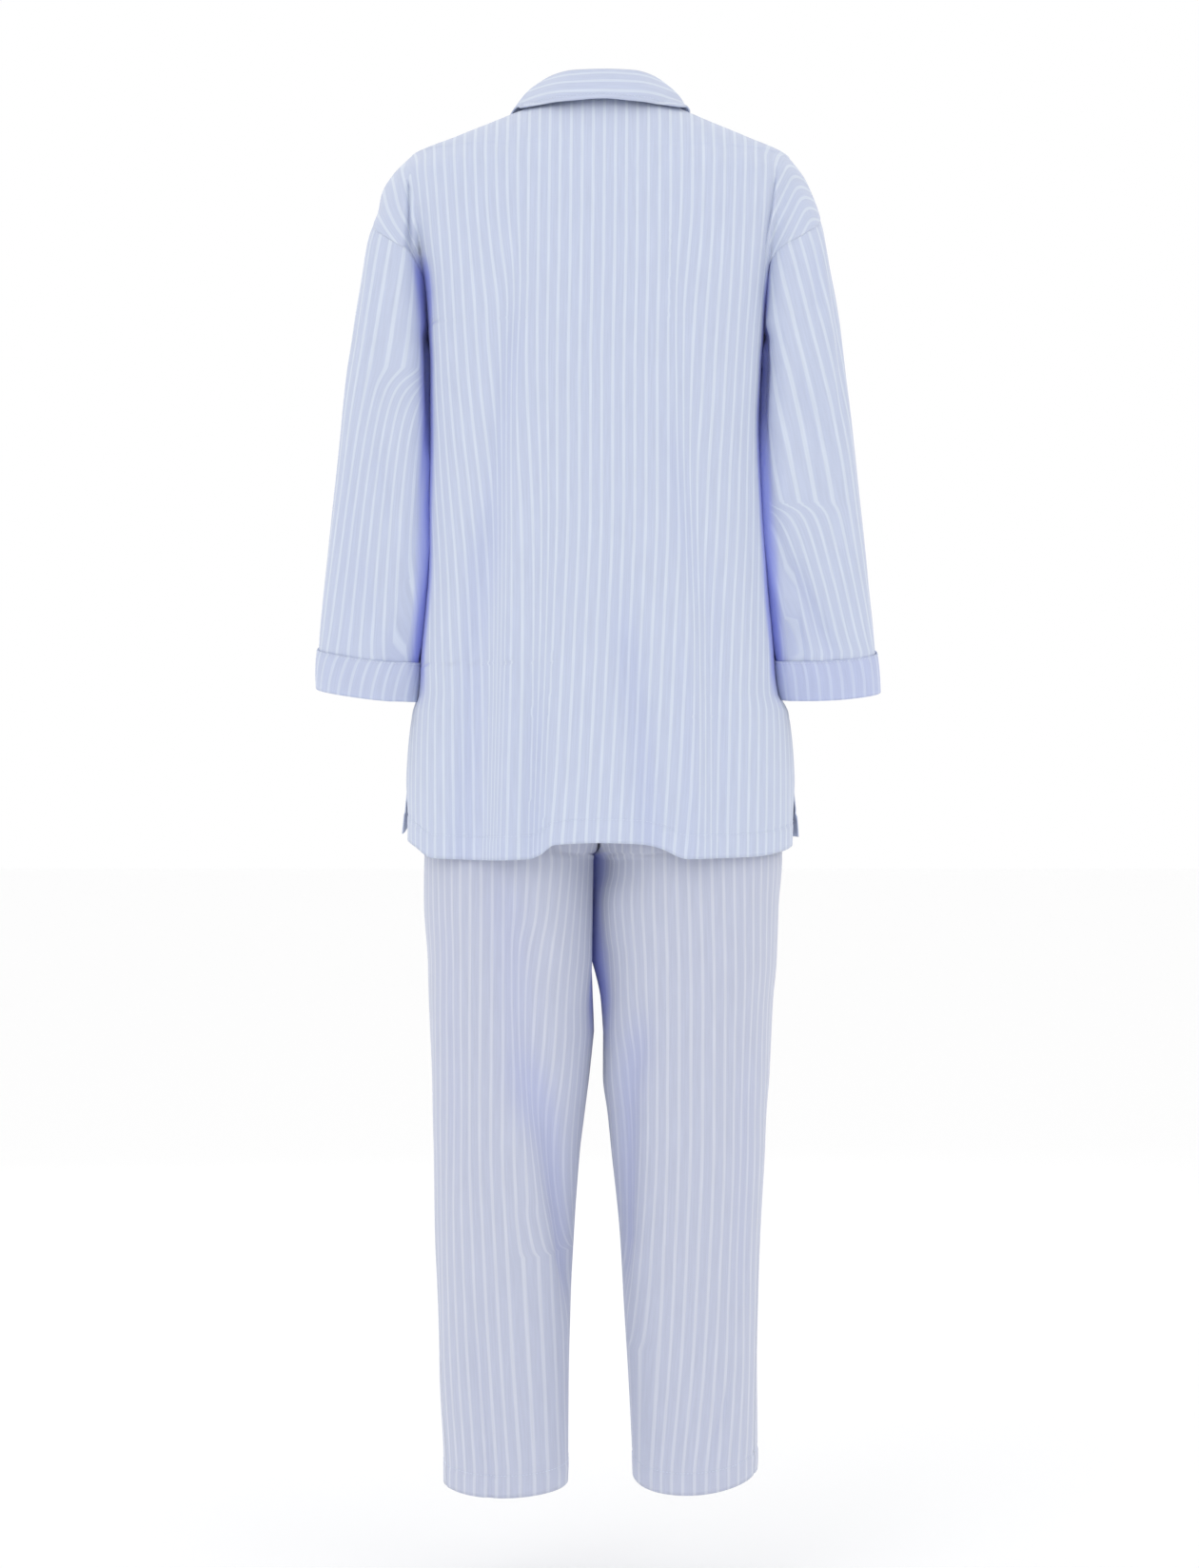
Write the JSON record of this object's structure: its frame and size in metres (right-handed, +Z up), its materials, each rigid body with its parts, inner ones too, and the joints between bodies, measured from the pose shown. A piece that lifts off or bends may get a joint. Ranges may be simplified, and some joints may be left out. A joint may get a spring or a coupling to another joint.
{
  "type": "pyjama set",
  "caption": "Loose striped pyjama set, worn and filled out: long-sleeved button-front top with a revers collar, turned cuffs and side slits, over straight full-length trousers.",
  "frame": {"origin": "centre of the neck opening at the height of the neck points, where the top hangs from the wearer's shoulders", "axes": "+Z up, the front faces -Y, the wearer's left is +X"},
  "size_m": [0.5671, 0.2713, 1.415],
  "materials": {
    "cloth": "woven cotton, light blue with fine white stripes",
    "button": "pearly"
  },
  "bodies": {
    "root": {"top_back": "cloth", "top_front_left": "cloth", "top_front_right": "cloth", "front_facing_left": "cloth", "front_facing_right": "cloth", "collar": "cloth", "sleeve_left": "cloth", "sleeve_right": "cloth", "cuff_left": "cloth", "cuff_right": "cloth", "trouser_back_left": "cloth", "trouser_back_right": "cloth", "trouser_front_left": "cloth", "trouser_front_right": "cloth", "waistband": "cloth", "button_1": "button", "button_2": "button", "button_3": "button", "button_4": "button"}
  },
  "joints": []
}
